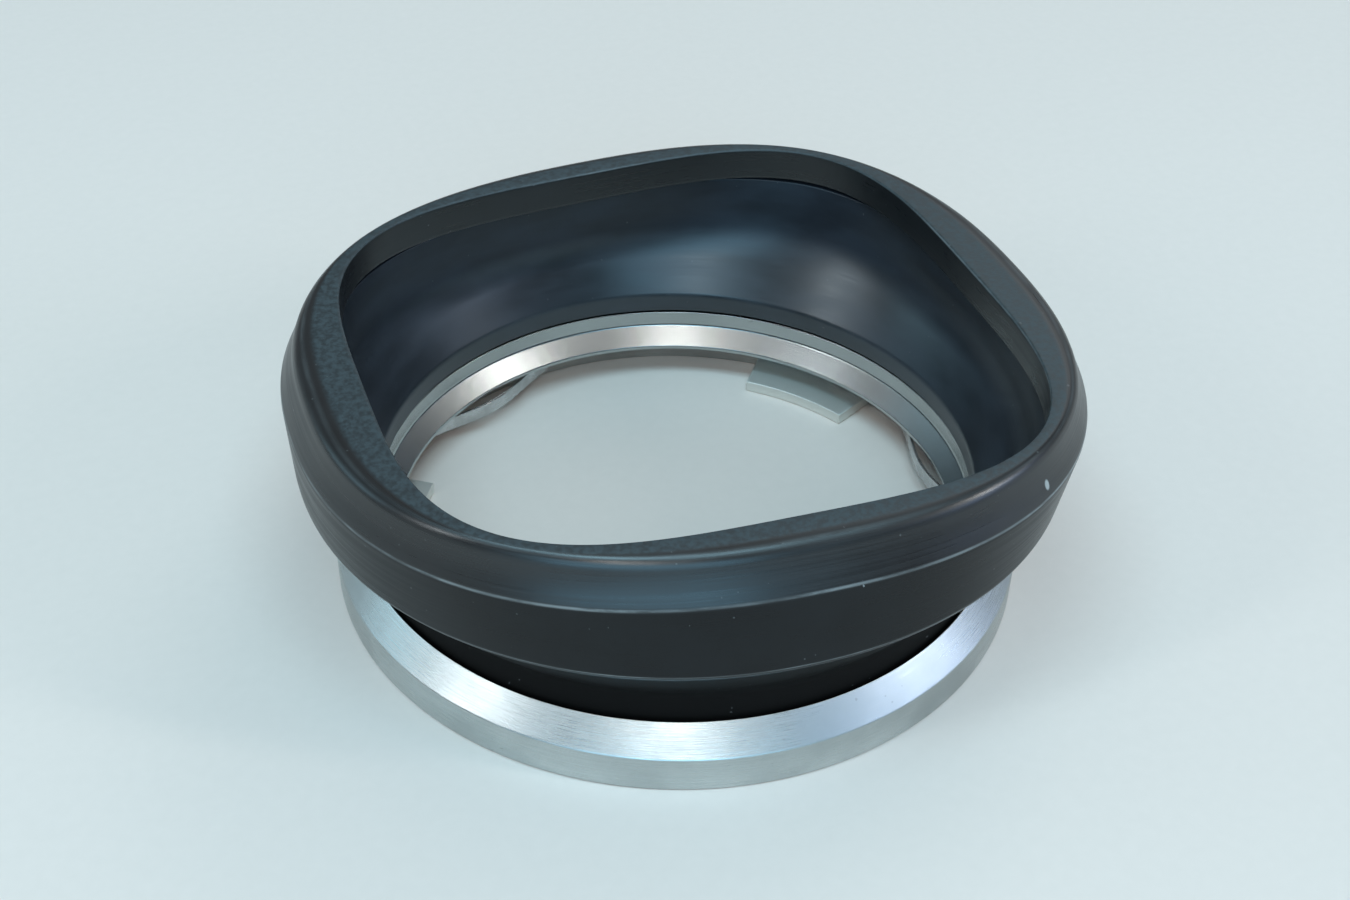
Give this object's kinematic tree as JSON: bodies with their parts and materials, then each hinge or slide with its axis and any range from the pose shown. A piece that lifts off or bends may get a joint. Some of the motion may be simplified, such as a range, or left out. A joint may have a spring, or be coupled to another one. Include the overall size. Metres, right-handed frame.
{
  "type": "bayonet lens hood",
  "caption": "Black metal lens hood with a rounded rectangular mouth on a bright bayonet ring with inward lugs and leaf springs, for a vintage camera lens.",
  "frame": {"origin": "on the optical axis, in the plane of the bayonet ring's rear face, which is the lowest point of the hood", "axes": "+Z along the optical axis and out of the hood's mouth; +X along the mouth's longer side; +Y across it"},
  "size_m": [0.0588, 0.0562, 0.0209],
  "materials": {
    "black_enamel": "semi-gloss black enamel on aluminium, worn bright along the edges",
    "black_funnel": "smooth black lacquer with a soft gloss",
    "bright_aluminium": "turned and satin brushed round the axis",
    "spring_steel": "bright rolled spring steel",
    "plated_brass": "nickel-plated round-headed rivets"
  },
  "bodies": {
    "hood": {"hood_shell": "black_enamel", "inner_funnel": "black_funnel", "bayonet_ring": "bright_aluminium", "spring_rivet_1a": "plated_brass", "spring_rivet_1b": "plated_brass", "spring_rivet_2a": "plated_brass", "spring_rivet_2b": "plated_brass", "spring_rivet_3a": "plated_brass", "spring_rivet_3b": "plated_brass", "stop_pin": "spring_steel", "neck_set_screw": "spring_steel"},
    "spring_1": {"leaf_spring_1": "spring_steel"},
    "spring_2": {"leaf_spring_2": "spring_steel"},
    "spring_3": {"leaf_spring_3": "spring_steel"}
  },
  "joints": [
    {"name": "spring_1_flex", "type": "hinge", "parent": "hood", "child": "spring_1", "pos_m": [0.02132, 0.01182, 0.0019], "axis": [0, 0, 1], "range_deg": [0, 2.5], "stiffness_Nm_per_rad": 0.5},
    {"name": "spring_2_flex", "type": "hinge", "parent": "hood", "child": "spring_2", "pos_m": [-0.02089, 0.01255, 0.0019], "axis": [0, 0, 1], "range_deg": [0, 2.5], "stiffness_Nm_per_rad": 0.5},
    {"name": "spring_3_flex", "type": "hinge", "parent": "hood", "child": "spring_3", "pos_m": [-0.00042, -0.02437, 0.0019], "axis": [0, 0, 1], "range_deg": [0, 2.5], "stiffness_Nm_per_rad": 0.5}
  ]
}
